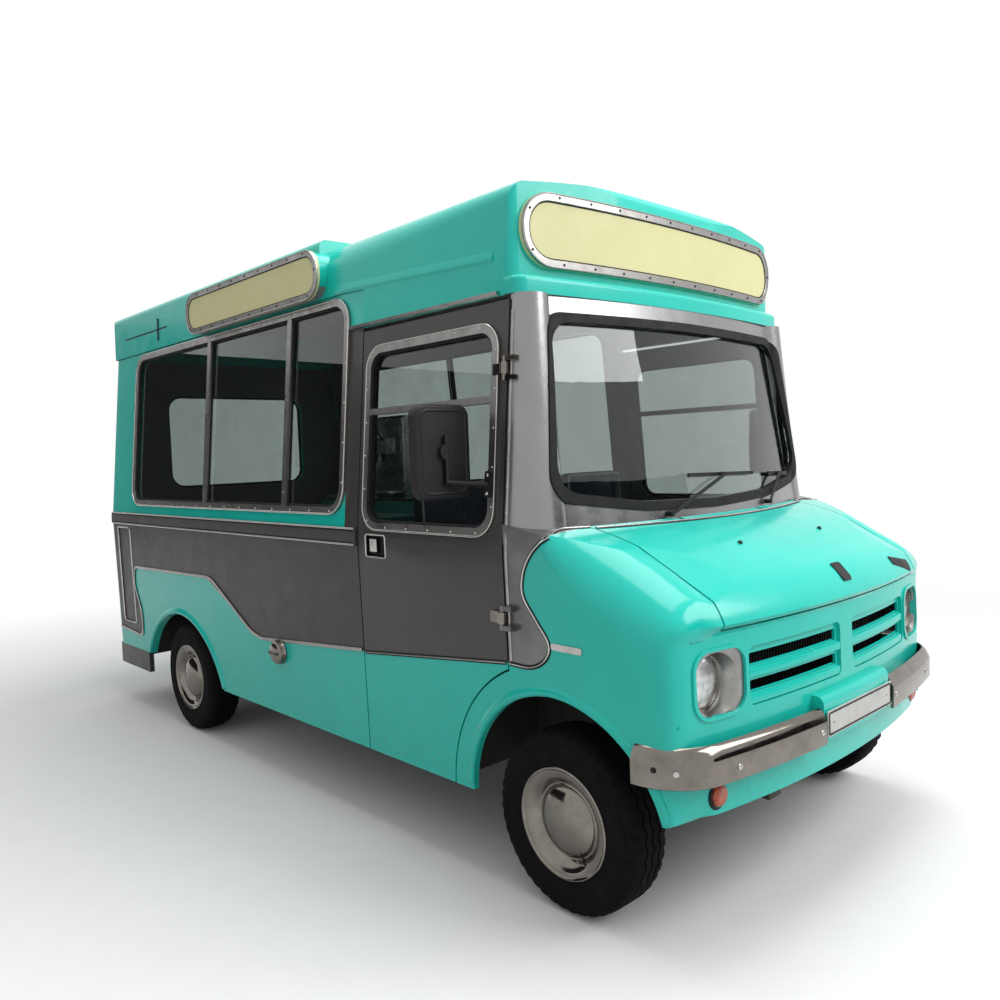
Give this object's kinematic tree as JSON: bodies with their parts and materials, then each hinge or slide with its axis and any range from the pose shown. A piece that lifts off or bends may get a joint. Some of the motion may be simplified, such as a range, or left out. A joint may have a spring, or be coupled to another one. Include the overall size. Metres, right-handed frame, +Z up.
{
  "type": "ice cream van",
  "caption": "Bonneted ice cream van with raised roof and blank signs, glazed serving windows, hinged cab doors, lifting bonnet, steered front wheels and turning wheels.",
  "frame": {"origin": "on the ground under the middle of the vehicle's length and width", "axes": "+X forward, +Y to the left side, +Z up"},
  "size_m": [5.07, 2.578, 2.7459],
  "materials": {
    "teal_paint": "gloss",
    "pewter": "satin",
    "bare_alloy": "brushed",
    "chrome": "polished",
    "glass": "clear",
    "rubber_seal": "matte",
    "sign_face": "gloss",
    "lamp": "gloss",
    "headlamp": "satin",
    "plate": "satin",
    "black_plastic": "satin",
    "chassis_black": "satin",
    "cast": "matte",
    "tyre": "matte",
    "seat_cloth": "matte",
    "counter": "gloss",
    "machine_steel": "brushed",
    "floor_grey": "satin",
    "rear_grey": "satin"
  },
  "bodies": {
    "body": {"side_skirt": "teal_paint", "side_lower": "pewter", "side_upper": "teal_paint", "rear_wall": "teal_paint", "roof": "teal_paint", "signs": "sign_face", "cab_front": "bare_alloy", "windscreen_glass": "glass", "windscreen_seal": "rubber_seal", "front_wings": "teal_paint", "front_panel": "teal_paint", "headlamps": "headlamp", "front_bumper": "chrome", "rear_bumper": "rear_grey", "number_plate": "plate", "lamps": "lamp", "brightwork": "chrome", "serving_frames": "bare_alloy", "body_glass": "glass", "wipers": "black_plastic", "front_suspension": "chassis_black", "rear_axle": "cast", "leaf_springs": "chassis_black", "chassis_frame": "chassis_black", "floor": "floor_grey", "inner_wings": "chassis_black", "engine_block": "cast", "fuel_tank": "chassis_black", "exhaust": "cast", "dashboard": "black_plastic", "steering_wheel": "black_plastic", "seats": "seat_cloth", "serving_counter": "counter", "ice_cream_machine": "machine_steel"},
    "front_right_wheel": {"tyre_front_right": "tyre", "wheel_front_right": "chrome"},
    "front_left_wheel": {"tyre_front_left": "tyre", "wheel_front_left": "chrome"},
    "rear_right_wheel": {"tyre_rear_right": "tyre", "wheel_rear_right": "chrome"},
    "rear_left_wheel": {"tyre_rear_left": "tyre", "wheel_rear_left": "chrome"},
    "right_knuckle": {"knuckle_right": "cast"},
    "left_knuckle": {"knuckle_left": "cast"},
    "right_door": {"door_right": "pewter", "door_glass_right": "glass", "mirror_right": "black_plastic"},
    "left_door": {"door_left": "pewter", "door_glass_left": "glass", "mirror_left": "black_plastic"},
    "bonnet_lid": {"bonnet": "teal_paint"}
  },
  "joints": [
    {"name": "steer_left", "type": "hinge", "parent": "body", "child": "left_knuckle", "pos_m": [1.88, 0.765, 0.334], "axis": [0, 0, 1], "range_deg": [-32, 32]},
    {"name": "steer_right", "type": "hinge", "parent": "body", "child": "right_knuckle", "pos_m": [1.88, -0.765, 0.334], "axis": [0, 0, 1], "range_deg": [-32, 32]},
    {"name": "spin_front_left", "type": "hinge", "parent": "left_knuckle", "child": "front_left_wheel", "pos_m": [1.88, 0.896, 0.334], "axis": [0, 1, 0], "continuous": true},
    {"name": "spin_front_right", "type": "hinge", "parent": "right_knuckle", "child": "front_right_wheel", "pos_m": [1.88, -0.896, 0.334], "axis": [0, 1, 0], "continuous": true},
    {"name": "spin_rear_left", "type": "hinge", "parent": "body", "child": "rear_left_wheel", "pos_m": [-1.32, 0.896, 0.334], "axis": [0, 1, 0], "continuous": true},
    {"name": "spin_rear_right", "type": "hinge", "parent": "body", "child": "rear_right_wheel", "pos_m": [-1.32, -0.896, 0.334], "axis": [0, 1, 0], "continuous": true},
    {"name": "door_right_hinge", "type": "hinge", "parent": "body", "child": "right_door", "pos_m": [1.654, -1.03488, 1.062], "axis": [0, 0.063, 0.998], "range_deg": [0, 68]},
    {"name": "door_left_hinge", "type": "hinge", "parent": "body", "child": "left_door", "pos_m": [1.654, 1.03488, 1.062], "axis": [0, 0.063, -0.998], "range_deg": [0, 68]},
    {"name": "bonnet_hinge", "type": "hinge", "parent": "body", "child": "bonnet_lid", "pos_m": [1.952, 0, 1.371], "axis": [0, -1, 0], "range_deg": [0, 50]}
  ],
  "couplings": [
    {"joint": "steer_right", "follows": "steer_left", "ratio": 1}
  ]
}
